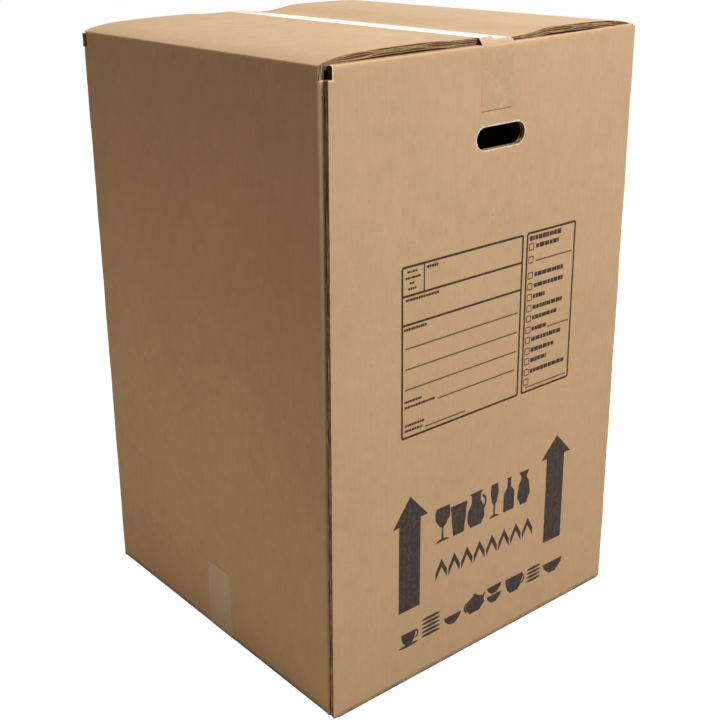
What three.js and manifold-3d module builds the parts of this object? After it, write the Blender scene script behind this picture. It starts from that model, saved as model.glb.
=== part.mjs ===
// A closed moving carton for dishes, folded from one sheet of double-wall board.
// Millimetres, +Z up. The origin is the middle of the base. The printed front panel faces -Y
// and the glued corner joint is the upright edge between the front (-Y) and left (-X) panels.
import * as THREE from 'three';
import { mergeVertices } from 'three/addons/utils/BufferGeometryUtils.js';
import Module from 'manifold-3d';

// Board: two flutes between three liners
const boardThickness = 7;
const linerThickness = 0.55;
const outerFluteHeight = 2.35;
const innerFluteHeight = 3.0;
const edgeGrooveDepth = 2.5;

// Inside of the closed carton
const insideWidth = 457;
const insideDepth = 457;
const insideHeight = 715;

// Folds
const cornerOutsideRadius = 7;
const cornerInsideRadius = 1;
const foldReach = 8;
const crushedThickness = 4;
const crushFade = 10;
const layerGap = 0.4;
const flapSideClearance = 1;

// Shape of the closing flaps: how far they arch past their fold and dip again at the seam
const archFade = 25;
const topArch = 9;
const topFoldOverInnerFlap = 0.6;
const topSeamDip = 2;
const bottomArch = 3;
const bottomSeamDip = 0.8;
const dipStartFromSeam = 95;
const dipEndFromSeam = 40;
const outerSeamGap = 1.6;
const innerSeamGap = 3;

// Slots between the flaps, measured down from the top fold or up from the bottom fold
const cornerWallLoss = 2.4;
const jointNotchWidth = 11.5;
const jointNotchDepth = 13.5;
const farSlotDepth = 19;
const farSlotWidth = 8;
const farSlotEdgeLeft = 4.5;

// Glued corner joint: a tab of the left panel lies behind the front panel
const tabLength = 38;
const tabThickness = 6;
const tabFoldRadius = 4;
const tabGap = 0.35;
const tabEndClearance = 6;
const tabTaper = 14;
const jointSkew = 6.5;

// Hand holes in the front and back panels
const handHoleLength = 75;
const handHoleHeight = 25;
const handHoleOffset = 10.2;
const handHoleDrop = 98.5;

// Clear tape over both seams
const tapeWidth = 48;
const tapeThickness = 0.3;
const tapeLift = 0.3;
const topTapeOffset = 2.2;
const topTapeTab = 69;
const bottomTapeOffset = -12;
const bottomTapeTab = 92;

// Smoothness
const arcSteps = 6;
const holeArcSteps = 9;
const archSteps = 18;

// Worked out from the sizes above
const outsideWidth = insideWidth + 2 * boardThickness;
const outsideDepth = insideDepth + 2 * boardThickness;
const bottomLayers = 2 * boardThickness + layerGap;
const innerTopLevel = bottomLayers + insideHeight + boardThickness;
const outerTopFold = innerTopLevel + topFoldOverInnerFlap;
const innerBottomLevel = boardThickness + layerGap;
const wallTop = innerTopLevel - boardThickness;
const wallBottom = innerBottomLevel + boardThickness;
const cutMargin = 5;
const hugeCut = 60;

const wasm = await Module();
wasm.setup();

function toSolid(geometry) {
  const bare = geometry.index ? geometry.toNonIndexed() : geometry.clone();
  bare.deleteAttribute('normal');
  bare.deleteAttribute('uv');
  const merged = mergeVertices(bare, 1e-4);
  return new wasm.Manifold(new wasm.Mesh({
    numProp: 3,
    vertProperties: new Float32Array(merged.attributes.position.array),
    triVerts: new Uint32Array(merged.index.array),
  }));
}

function toMesh(name, solid, material) {
  const { vertProperties, triVerts } = solid.getMesh();
  const geometry = new THREE.BufferGeometry();
  geometry.setAttribute('position', new THREE.BufferAttribute(vertProperties, 3));
  geometry.setIndex(new THREE.BufferAttribute(triVerts, 1));
  geometry.computeVertexNormals();
  const mesh = new THREE.Mesh(geometry, material);
  mesh.name = name;
  return mesh;
}

function extrude(shape, depth, curveSegments = arcSteps) {
  return new THREE.ExtrudeGeometry(shape, { depth, curveSegments, bevelEnabled: false });
}

function blockBetween(low, high) {
  const size = high.map((value, i) => value - low[i]);
  const block = new THREE.BoxGeometry(...size);
  block.translate(...high.map((value, i) => (value + low[i]) / 2));
  return toSolid(block);
}

// Turns a section drawn in (inward, up) and centred along its length into its place on the
// panel that lies `distance` from the middle. Turn 0 is the left panel, then 90 degrees each:
// 1 front, 2 right, 3 back.
function placeOnPanel(geometry, length, distance, quarterTurns) {
  geometry.rotateX(Math.PI / 2);
  geometry.translate(-distance, length / 2, 0);
  geometry.rotateZ(quarterTurns * Math.PI / 2);
  return toSolid(geometry);
}

// The four walls and the glue tab in plan, as one strip bent round the corners.
function wallPlan() {
  const x = outsideWidth / 2;
  const y = outsideDepth / 2;
  const r = cornerOutsideRadius;
  const q = cornerInsideRadius;
  const innerX = x - boardThickness;
  const innerY = y - boardThickness;
  const tabOuter = -innerY + tabGap;
  const tabInner = tabOuter + tabThickness;
  const tabEnd = -innerX + tabLength;
  const plan = new THREE.Shape();
  plan.moveTo(-x, -y);
  plan.lineTo(x - r, -y);
  plan.absarc(x - r, -y + r, r, -Math.PI / 2, 0, false);
  plan.lineTo(x, y - r);
  plan.absarc(x - r, y - r, r, 0, Math.PI / 2, false);
  plan.lineTo(-x + r, y);
  plan.absarc(-x + r, y - r, r, Math.PI / 2, Math.PI, false);
  plan.lineTo(-x, tabOuter + tabFoldRadius);
  plan.absarc(-x + tabFoldRadius, tabOuter + tabFoldRadius, tabFoldRadius, Math.PI, 1.5 * Math.PI, false);
  plan.lineTo(tabEnd, tabOuter);
  plan.lineTo(tabEnd, tabInner);
  plan.lineTo(-innerX, tabInner);
  plan.lineTo(-innerX, innerY - q);
  plan.lineTo(-innerX + q, innerY);
  plan.lineTo(innerX - q, innerY);
  plan.lineTo(innerX, innerY - q);
  plan.lineTo(innerX, -innerY + q);
  plan.lineTo(innerX - q, -innerY);
  plan.lineTo(-x, -innerY);
  plan.closePath();
  return plan;
}

function smoothStep(from, to, value) {
  const t = Math.min(Math.max((value - from) / (to - from), 0), 1);
  return t * t * (3 - 2 * t);
}

// A flap's outer and inner surface levels at a distance from the outside of its wall.
// `side` is +1 for the top and -1 for the bottom. `limit` is the level of the layer below it,
// which the crushed fold rests on.
function flapLevels(flap, distance) {
  const rise = flap.arch * (1 - Math.exp(-distance / archFade));
  const fromSeam = flap.length - distance;
  const dip = flap.dip * (1 - smoothStep(dipEndFromSeam, dipStartFromSeam, fromSeam));
  const outer = flap.fold + flap.side * (rise - dip);
  const crush = boardThickness - crushedThickness;
  const crushed = boardThickness - crush * Math.exp(-(distance - boardThickness) / crushFade);
  const room = flap.limit === undefined ? crushed : flap.side * (outer - flap.limit);
  const thickness = flap.limit === undefined ? crushed : Math.min(room, boardThickness);
  return { outer, thickness, inner: outer - flap.side * thickness };
}

// Distances at which a flap's curve is sampled: close together at the fold and the dip.
function flapStations(start, end) {
  return Array.from({ length: archSteps + 1 }, (_, i) => start + (end - start) * (i / archSteps) ** 1.5);
}

// Section of a wall's end and its flap, drawn as (inward, up).
function flapSection(flap) {
  const wallEnd = flap.side > 0 ? wallTop : wallBottom;
  const bendStart = flap.fold - flap.side * foldReach;
  const stations = flapStations(foldReach, flap.length);
  const underside = flapStations(boardThickness, flap.length).reverse();
  const straightEnd = flap.side * Math.min(flap.side * bendStart, flap.side * wallEnd);
  const section = new THREE.Shape();
  section.moveTo(boardThickness, straightEnd - flap.side);
  section.lineTo(0, straightEnd - flap.side);
  section.lineTo(0, bendStart);
  section.quadraticCurveTo(0, flap.fold, foldReach, flapLevels(flap, foldReach).outer);
  stations.slice(1).forEach((s) => section.lineTo(s, flapLevels(flap, s).outer));
  underside.forEach((s) => section.lineTo(s, flapLevels(flap, s).inner));
  section.closePath();
  return section;
}

// The opening of one flute along a flap's side edge, as a band between two depths that are
// counted in whole board thicknesses and squeezed with it.
function grooveSection(flap, fromDepth, toDepth) {
  const stations = flapStations(2 * boardThickness, flap.length + 1);
  const level = (s, depth) => {
    const { outer, thickness } = flapLevels(flap, s);
    return outer - flap.side * thickness * depth / boardThickness;
  };
  const band = new THREE.Shape();
  stations.forEach((s, i) => (i ? band.lineTo(s, level(s, fromDepth)) : band.moveTo(s, level(s, fromDepth))));
  stations.reverse().forEach((s) => band.lineTo(s, level(s, toDepth)));
  band.closePath();
  return band;
}

const outerGroove = [linerThickness, linerThickness + outerFluteHeight];
const innerGroove = [2 * linerThickness + outerFluteHeight, boardThickness - linerThickness];

function makeFlap(flap) {
  const flapWidth = flap.panelInside - 2 * flapSideClearance;
  let solid = placeOnPanel(extrude(flapSection(flap), flapWidth), flapWidth, flap.distance, flap.turn);
  if (!flap.edgesShow) return solid;
  for (const [from, to] of [outerGroove, innerGroove]) {
    for (const end of [-1, 1]) {
      const groove = extrude(grooveSection(flap, from, to), 2 * edgeGrooveDepth);
      groove.translate(0, 0, end * flapWidth / 2);
      solid = solid.subtract(placeOnPanel(groove, 2 * edgeGrooveDepth, flap.distance, flap.turn));
    }
  }
  return solid;
}

// All eight flaps. On top the left and right flaps close last, at the bottom the front and back.
function flapList() {
  const list = [];
  for (const turn of [0, 1, 2, 3]) {
    const onSide = turn % 2 === 0;
    const distance = (onSide ? outsideWidth : outsideDepth) / 2;
    const panelInside = onSide ? insideDepth : insideWidth;
    const outerLength = distance - outerSeamGap / 2;
    const innerLength = distance - innerSeamGap / 2;
    const common = { turn, distance, panelInside };
    const outerTop = {
      side: 1, fold: outerTopFold, arch: topArch, dip: topSeamDip,
      limit: innerTopLevel + layerGap, length: outerLength, edgesShow: true,
    };
    const innerTop = { side: 1, fold: innerTopLevel, arch: 0, dip: 0, length: innerLength };
    const outerBottom = {
      side: -1, fold: bottomArch, arch: bottomArch, dip: bottomSeamDip,
      limit: innerBottomLevel - layerGap, length: outerLength, edgesShow: true,
    };
    const innerBottom = { side: -1, fold: innerBottomLevel, arch: 0, dip: 0, length: innerLength };
    list.push({ ...common, ...(onSide ? outerTop : innerTop) });
    list.push({ ...common, ...(onSide ? innerBottom : outerBottom) });
  }
  return list;
}

// The walls stand a little past the panels at the corners, where no flap folds.
function makeWalls() {
  const low = cornerWallLoss + bottomArch;
  const high = innerTopLevel - cornerWallLoss;
  const plan = extrude(wallPlan(), high - low);
  plan.translate(0, 0, low);
  let walls = toSolid(plan);
  const x = outsideWidth / 2 + cutMargin;
  const y = outsideDepth / 2 + cutMargin;
  const flapX = insideWidth / 2 - flapSideClearance;
  const flapY = insideDepth / 2 - flapSideClearance;
  for (const [from, to] of [[-cutMargin, wallBottom], [wallTop, high + cutMargin]]) {
    walls = walls.subtract(blockBetween([-flapX, -y, from], [flapX, y, to]));
    walls = walls.subtract(blockBetween([-x, -flapY, from], [x, flapY, to]));
  }
  return walls.subtract(tabEndCut(1)).subtract(tabEndCut(-1));
}

// Takes the glue tab back from the flaps with a slanted end.
function tabEndCut(side) {
  const innerX = insideWidth / 2;
  const wallEnd = side > 0 ? wallTop : wallBottom;
  const near = wallEnd - side * tabEndClearance;
  const far = near - side * tabTaper;
  const beyond = wallEnd + side * hugeCut;
  const outline = new THREE.Shape();
  outline.moveTo(-innerX, near);
  outline.lineTo(-innerX + tabLength + cutMargin, far);
  outline.lineTo(-innerX + tabLength + cutMargin, beyond);
  outline.lineTo(-innerX, beyond);
  outline.closePath();
  const cut = extrude(outline, tabThickness + cutMargin);
  cut.rotateX(Math.PI / 2);
  cut.translate(0, -insideDepth / 2 + tabGap / 2 + tabThickness + cutMargin, 0);
  return toSolid(cut);
}

// The front panel's cut edge leans away from the corner towards the top.
function jointSkewCut() {
  const x = -outsideWidth / 2;
  const outline = new THREE.Shape();
  outline.moveTo(x - cutMargin, 0);
  outline.lineTo(x, 0);
  outline.lineTo(x + jointSkew, innerTopLevel);
  outline.lineTo(x - cutMargin, innerTopLevel);
  outline.closePath();
  const cut = extrude(outline, boardThickness + cutMargin);
  cut.rotateX(Math.PI / 2);
  cut.translate(0, -insideDepth / 2 + tabGap / 2, 0);
  return toSolid(cut);
}

// The layers of the board along the front panel's cut edge.
function jointGrooveCut(fromDepth, toDepth) {
  const x = -outsideWidth / 2;
  const y = -outsideDepth / 2;
  const outline = new THREE.Shape();
  outline.moveTo(x - cutMargin, wallBottom);
  outline.lineTo(x + edgeGrooveDepth + jointSkew * wallBottom / innerTopLevel, wallBottom);
  outline.lineTo(x + edgeGrooveDepth + jointSkew * wallTop / innerTopLevel, wallTop);
  outline.lineTo(x - cutMargin, wallTop);
  outline.closePath();
  const cut = extrude(outline, toDepth - fromDepth);
  cut.rotateX(Math.PI / 2);
  cut.translate(0, y + toDepth, 0);
  return toSolid(cut);
}

// Square notch at the top of the joint, with the joint's own slack in it.
function jointNotchCut() {
  const x = -outsideWidth / 2;
  const y = -outsideDepth / 2;
  return blockBetween(
    [x - cutMargin, y - cutMargin, innerTopLevel - jointNotchDepth],
    [x + jointNotchWidth, y + boardThickness + tabGap / 2, innerTopLevel + cutMargin],
  );
}

// The slot between the left and back flaps, cut past the fold into the left panel.
function farSlotCut() {
  const x = -outsideWidth / 2;
  const y = outsideDepth / 2 - farSlotEdgeLeft;
  return blockBetween(
    [x - cutMargin, y - farSlotWidth, outerTopFold - farSlotDepth],
    [x + boardThickness + cutMargin / 2, y, innerTopLevel - layerGap],
  );
}

function handHoleCut(side) {
  const radius = handHoleHeight / 2;
  const reach = handHoleLength / 2 - radius;
  const outline = new THREE.Shape();
  outline.moveTo(-reach, -radius);
  outline.lineTo(reach, -radius);
  outline.absarc(reach, 0, radius, -Math.PI / 2, Math.PI / 2, false);
  outline.lineTo(-reach, radius);
  outline.absarc(-reach, 0, radius, Math.PI / 2, 1.5 * Math.PI, false);
  outline.closePath();
  const depth = boardThickness + 2 * cutMargin;
  const cut = extrude(outline, depth, holeArcSteps);
  cut.rotateX(Math.PI / 2);
  cut.translate(handHoleOffset, -outsideDepth / 2 + depth - cutMargin, innerTopLevel - handHoleDrop);
  if (side > 0) cut.rotateZ(Math.PI);
  return toSolid(cut);
}

function makeCarton() {
  let carton = makeWalls().subtract(jointSkewCut());
  for (const flap of flapList()) carton = carton.add(makeFlap(flap));
  const cuts = [
    jointGrooveCut(...outerGroove),
    jointGrooveCut(...innerGroove),
    jointNotchCut(),
    farSlotCut(),
    handHoleCut(-1),
    handHoleCut(1),
  ];
  return cuts.reduce((solid, cut) => solid.subtract(cut), carton);
}

// A tape's section from its line along the board: the line and its copy pushed outwards.
function tapeSection(line) {
  const outwards = line.map((point, i) => {
    const before = line[Math.max(i - 1, 0)];
    const after = line[Math.min(i + 1, line.length - 1)];
    const along = after.clone().sub(before).normalize();
    return new THREE.Vector2(point.x - along.y * tapeThickness, point.y + along.x * tapeThickness);
  });
  return new THREE.Shape([...line, ...outwards.reverse()]);
}

// Half of a tape's line, drawn as (inward, up) from the end of its tab to the seam's middle.
function tapeHalfLine({ fold, flat, side, tab, distance }) {
  const edge = boardThickness + flapSideClearance;
  const face = -tapeLift;
  const path = new THREE.Path();
  path.moveTo(face, fold - side * tab);
  path.lineTo(face, fold - side * 0.8 * foldReach);
  path.quadraticCurveTo(face, fold + side * 0.5 * tapeLift, 0.35 * edge, fold + 0.45 * (flat - fold) + side * tapeLift);
  path.lineTo(0.8 * edge, flat - side * tapeLift);
  path.quadraticCurveTo(edge, flat + side * tapeLift, 1.6 * edge, flat + side * tapeLift);
  path.lineTo(distance, flat + side * tapeLift);
  return path.getPoints(arcSteps);
}

function makeTape(tape) {
  const half = tapeHalfLine(tape);
  const mirrored = half.slice(0, -1).reverse();
  const line = [...half, ...mirrored.map((p) => new THREE.Vector2(2 * tape.distance - p.x, p.y))];
  if (tape.side < 0) line.reverse();
  const band = extrude(tapeSection(line), tapeWidth);
  return placeOnPanel(band, tapeWidth, tape.distance, tape.turn);
}

const kraftBoard = new THREE.MeshStandardMaterial({ color: 0xcfa878, roughness: 0.85, metalness: 0 });
const clearTape = new THREE.MeshStandardMaterial({ color: 0xd8c6a4, roughness: 0.15, metalness: 0 });

const topTape = makeTape({
  side: 1,
  fold: innerTopLevel,
  flat: outerTopFold + topArch - topSeamDip,
  tab: topTapeTab,
  distance: outsideDepth / 2,
  turn: 1,
});
const bottomTape = makeTape({
  side: -1,
  fold: innerBottomLevel,
  flat: bottomSeamDip,
  tab: bottomTapeTab,
  distance: outsideWidth / 2,
  turn: 0,
});

const dishCarton = new THREE.Group();
dishCarton.add(toMesh('carton', makeCarton(), kraftBoard));

const topTapeMesh = toMesh('top_tape', topTape, clearTape.clone());
topTapeMesh.position.x = topTapeOffset;
dishCarton.add(topTapeMesh);

const bottomTapeMesh = toMesh('bottom_tape', bottomTape, clearTape.clone());
bottomTapeMesh.position.y = bottomTapeOffset;
dishCarton.add(bottomTapeMesh);

export default dishCarton;
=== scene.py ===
import math
from functools import partial

import bpy
import numpy as np
from mathutils import Matrix, Vector


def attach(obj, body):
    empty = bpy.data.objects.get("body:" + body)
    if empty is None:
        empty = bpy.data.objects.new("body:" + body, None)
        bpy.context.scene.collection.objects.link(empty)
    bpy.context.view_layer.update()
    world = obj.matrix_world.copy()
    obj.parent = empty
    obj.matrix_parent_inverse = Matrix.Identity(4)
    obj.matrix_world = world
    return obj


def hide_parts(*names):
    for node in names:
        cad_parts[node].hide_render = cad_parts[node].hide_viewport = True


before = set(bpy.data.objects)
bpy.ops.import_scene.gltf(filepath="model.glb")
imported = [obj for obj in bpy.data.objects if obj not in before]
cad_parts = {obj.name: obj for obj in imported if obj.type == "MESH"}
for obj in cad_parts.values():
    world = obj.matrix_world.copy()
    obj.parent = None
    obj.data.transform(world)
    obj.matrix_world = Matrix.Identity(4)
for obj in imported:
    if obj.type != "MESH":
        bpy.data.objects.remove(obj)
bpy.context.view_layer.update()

mm = 0.001
scene = bpy.context.scene

# Board sizes; the folds are crisper and the flaps bend a little more than those of the carton's solid
board = dict(
    thickness=7 * mm, inside=457 * mm, insideHeight=715 * mm, layerGap=0.4 * mm,
    cornerRadius=7 * mm, foldReach=8 * mm, crushed=4 * mm, crushFade=10 * mm,
    archFade=25 * mm, dipStart=95 * mm, dipEnd=40 * mm, flapClearance=1 * mm,
    liner=0.55 * mm, outerFlute=2.35 * mm, edgeDepth=1.5 * mm, mediumDepth=0.15 * mm,
    mediumThickness=1.0 * mm, panelSwell=0.9 * mm, foldCrispness=3.7,
)
flutePitch = dict(outer=6.4 * mm, inner=7.7 * mm)
half = board["inside"] / 2 + board["thickness"]
inner = board["inside"] / 2
flapHalf = inner - board["flapClearance"]
innerBottom = board["thickness"] + board["layerGap"]
innerTop = innerBottom + 2 * board["thickness"] + board["insideHeight"]
outerTop = innerTop + 0.6 * mm
cornerLow, cornerHigh = 5.4 * mm, innerTop - 2.4 * mm

# How each kind of flap lies: the level of its fold, how far it arches and dips, and what it rests on
flapKinds = {
    "outerTop": dict(side=1, fold=outerTop, arch=9 * mm, dip=2 * mm, gap=1.6 * mm,
                     limit=innerTop + board["layerGap"]),
    "innerTop": dict(side=1, fold=innerTop, arch=0, dip=0, gap=3 * mm, limit=None),
    "outerBottom": dict(side=-1, fold=3 * mm, arch=3 * mm, dip=0.8 * mm, gap=1.6 * mm,
                        limit=innerBottom - board["layerGap"]),
    "innerBottom": dict(side=-1, fold=innerBottom - 2.2 * mm, arch=-2.2 * mm, fade=3 * mm, dip=0,
                        gap=3 * mm, limit=None),
}
flapKinds["rightTop"] = dict(flapKinds["outerTop"], dip=5.5 * mm)
joint = dict(skew=6.5 * mm, notchWidth=11.5 * mm, notchDepth=13.5 * mm, tabLength=38 * mm,
             tabThickness=6 * mm, foldRadius=4 * mm, gap=0.35 * mm, tabTaper=14 * mm,
             tabLow=20 * mm, tabHigh=innerTop - 13 * mm)
frontCrest = dict(rise=3 * mm, start=24 * mm, reach=60 * mm, width=8 * mm)
farSlot = dict(depth=19 * mm, near=12.5 * mm, far=4.5 * mm, bevel=1.6 * mm, back=0.4 * mm)
handHole = dict(length=75 * mm, height=25 * mm, offset=10.2 * mm, level=innerTop - 98.5 * mm,
                pocket=2.4 * mm, arcPoints=14)
# the third slot is the flute hollows, whose dark brown is painted shade
materialSlots = dict(liner=0, cutEdge=1, shadedHollow=2)
onWallLimit = 0.2 * mm  # how near to its outside face a point still counts as on the wall


# Colours and small helpers

def sRgb(r, g, b):
    # linear colour of a screen colour in 0 to 255: the sRGB curve undone for each channel
    c = np.array([r, g, b]) / 255
    return tuple(np.where(c <= 0.04045, c / 12.92, ((c + 0.055) / 1.055) ** 2.4)) + (1.0,)


def smoothStep(low, high, x):
    # t t (3 - 2 t), with t running from 0 at low to 1 at high
    t = np.clip((x - low) / (high - low), 0, 1)
    return t * t * (3 - 2 * t)


def spread(*parts):
    # points from their coordinates, each a number or an array
    return np.stack(np.broadcast_arrays(*parts), -1)


def placeOnPanel(turn, inward, along, up):
    # quarter turns round the carton: turn 0 is the left panel, 1 the front, 2 the right, 3 the back
    x, y = -half + inward, -along
    c, s = [(1, 0), (0, 1), (-1, 0), (0, -1)][turn]
    return spread(c * x - s * y, s * x + c * y, up)


def panelWave(turn, along, up):
    # slow hollows and swells of a wall: three crossed cosines, faded to nothing at the panel's edges
    u, w = along / flapHalf, (up - innerTop / 2) / (innerTop / 2)
    window = np.clip(1 - u ** 4, 0, 1) * np.clip(1 - w ** 4, 0, 1)
    phase = 1.3 * turn
    wave = 0.45 * np.cos(1.9 * u + phase) * np.cos(1.4 * w) + 0.3 * np.cos(3.7 * u - 2 * phase + 2.2 * w)
    wave += 0.25 * np.cos(5.1 * w + 2.4 * u + phase)
    return -board["panelSwell"] * window * wave


# Meshes from grids

def gridFaces(rows, cols, wrap=False, flip=False):
    # quads between neighbouring points of a grid; wrap joins the last column to the first
    r = np.arange(rows - 1)[:, None]
    c = np.arange(cols if wrap else cols - 1)[None, :]
    n = (c + 1) % cols
    low, high = r * cols, (r + 1) * cols
    quads = np.stack([low + c, low + n, high + n, high + c], -1).reshape(-1, 4)
    return quads[:, ::-1] if flip else quads


class Shell:
    # collects grids of points with their faces, material numbers, flat coordinates and fold marks, which the
    # liner's colour makes pale (wear and painted highlight) or darker near the floor

    def __init__(self):
        self.points, self.faces, self.slots, self.uv, self.wearAndHighlight = [], [], [], [], []
        self.count = 0

    def addTube(self, points, slots=0, uv=None, wearAndHighlight=0, flip=False, endSlot=1):
        # a closed tube: rings of points joined by quads, and one flat face at each end
        rows, cols = points.shape[:2]
        quads = gridFaces(rows, cols, wrap=True, flip=flip) + self.count
        first, last = np.arange(cols) + self.count, (rows - 1) * cols + np.arange(cols) + self.count
        ends = [first, last[::-1]] if flip else [first[::-1], last]
        self.faces += quads.tolist() + [end.tolist() for end in ends]
        ring = np.broadcast_to(slots, cols)
        self.slots.append(np.r_[np.tile(ring, rows - 1), endSlot, endSlot])
        self.points.append(points.reshape(-1, 3))
        self.uv.append(np.zeros((rows * cols, 2)) if uv is None else uv.reshape(-1, 2))
        self.wearAndHighlight.append(np.broadcast_to(wearAndHighlight, (rows, cols)).ravel())
        self.count += rows * cols

    def build(self, name, materials, sharpAngle=30):
        mesh = bpy.data.meshes.new(name)
        mesh.from_pydata(np.concatenate(self.points).tolist(), [], self.faces)
        mesh.polygons.foreach_set("material_index", np.concatenate(self.slots).astype(np.int32))
        for material in materials:
            mesh.materials.append(material)
        corners = np.zeros(len(mesh.loops), np.int32)
        mesh.loops.foreach_get("vertex_index", corners)
        layer = mesh.uv_layers.new(name="boardUv")
        layer.data.foreach_set("uv", np.concatenate(self.uv)[corners].astype(np.float32).ravel())
        wearAndHighlight = mesh.attributes.new("wearAndHighlight", "FLOAT", "POINT")
        wearAndHighlight.data.foreach_set("value", np.concatenate(self.wearAndHighlight).astype(np.float32))
        smoothFaces(mesh, sharpAngle)
        return addToScene(name, mesh)


def smoothFaces(mesh, sharpAngle):
    mesh.polygons.foreach_set("use_smooth", np.ones(len(mesh.polygons), bool))
    mesh.update()
    mesh.set_sharp_from_angle(angle=math.radians(sharpAngle))


def addToScene(name, data):
    thing = bpy.data.objects.new(name, data)
    scene.collection.objects.link(thing)
    return thing


def finishPiece(piece, node):
    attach(piece, "root")
    if node:
        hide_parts(node)


# The folded board

def flapLevels(kind, s):
    # at distance s from its wall a flap rises by an exponential towards its arch, dips again by a
    # smooth step near the seam, and is thinner by a second exponential where the fold crushed it
    f = flapKinds[kind]
    length = half - f["gap"] / 2
    rise = f["arch"] * (1 - np.exp(-s / f.get("fade", board["archFade"])))
    dip = f["dip"] * (1 - smoothStep(board["dipEnd"], board["dipStart"], length - s))
    outer = f["fold"] + f["side"] * (rise - dip)
    t = board["thickness"]
    if f["limit"] is None:
        thick = t - (t - board["crushed"]) * np.exp(-(s - t) / board["crushFade"])
    else:
        thick = np.minimum(f["side"] * (outer - f["limit"]), t)
    return outer, outer - f["side"] * thick


def flapLines(kind):
    # outer and inner lines of a flap from its wall to its free edge: round the fold, the pulls of
    # the curve's start and end away from the sharp corner fade as powers; then come flapLevels at
    # stations that are close together near the fold
    f = flapKinds[kind]
    reach, t, side = board["foldReach"], board["thickness"], f["side"]
    bend = np.linspace(0, 1, 13)
    start, corner = np.array([0, f["fold"] - side * reach]), np.array([0, f["fold"]])
    end = np.array([reach, flapLevels(kind, reach)[0]])
    power, b = board["foldCrispness"], bend[:, None]
    curve = corner + (1 - b) ** power * (start - corner) + b ** power * (end - corner)
    innerS = np.where(bend < 0.5, t, t + (reach - t) * (2 * bend - 1))
    cornerLevel = flapLevels(kind, t)[1]
    rising = start[1] + (cornerLevel - start[1]) * 2 * bend
    innerZ = np.where(bend < 0.5, rising, flapLevels(kind, innerS)[1])
    s = reach + (half - f["gap"] / 2 - reach) * np.linspace(0, 1, 46)[1:] ** 1.4
    outer, under = flapLevels(kind, s)
    outerLine = np.concatenate([curve, spread(s, outer)])
    innerLine = spread(np.r_[innerS, s], np.r_[innerZ, under])
    # the fold's mark for the liner's colour: pale on top folds, part wear and part painted highlight, and
    # darker on bottom folds
    wearAndHighlight = np.r_[np.sin(np.pi * bend) ** (2 if side > 0 else 0.7), np.zeros(len(s))]
    return outerLine, innerLine, wearAndHighlight


def edgeSection(path, phase):
    # layers across a cut edge: the three liners reach the edge, the hollows lie back, and each
    # hollow has its medium, which wanders from side to side by a sine along the edge
    t, liner, deep, mid = board["thickness"], board["liner"], board["edgeDepth"], board["mediumDepth"]
    first = liner + board["outerFlute"]
    second = first + liner
    last = t - liner
    step = 0.02 * mm
    w = board["mediumThickness"] / 2
    sway = 0.26 * np.sin(path / 0.021 + phase) + 0.16 * np.sin(path / 0.0083 + 2 * phase)
    one = np.ones(len(path))
    upper = (liner + first) / 2 + sway * board["outerFlute"]
    lower = (second + last) / 2 - sway * (last - second)
    marks = [0 * one]
    for low, high, medium in ((liner, first, upper), (second, last, lower)):
        marks += [low * one, (low + step) * one, medium - w, medium - w + step,
                  medium + w - step, medium + w, (high - step) * one, high * one]
    marks.append(t * one)
    depth = np.array([0] + 2 * [0, deep, deep, mid, mid, deep, deep, 0] + [0])
    slots = np.array([1] + 2 * [2, 2, 2, 1, 2, 2, 2, 1])
    return np.stack(marks, -1) / t, depth, slots


def crestRise(turn, along, inward, up):
    # the front panel's top fold stands up in front of the right flap: a smooth step across the
    # panel, times one up the wall, faded to nothing behind the fold
    c = frontCrest
    across = smoothStep(c["start"], flapHalf, along) if turn == 1 else 0
    upwards = smoothStep(innerTop - c["reach"], innerTop, up)
    return c["rise"] * across * upwards * smoothStep(c["width"], 0, inward)


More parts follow.
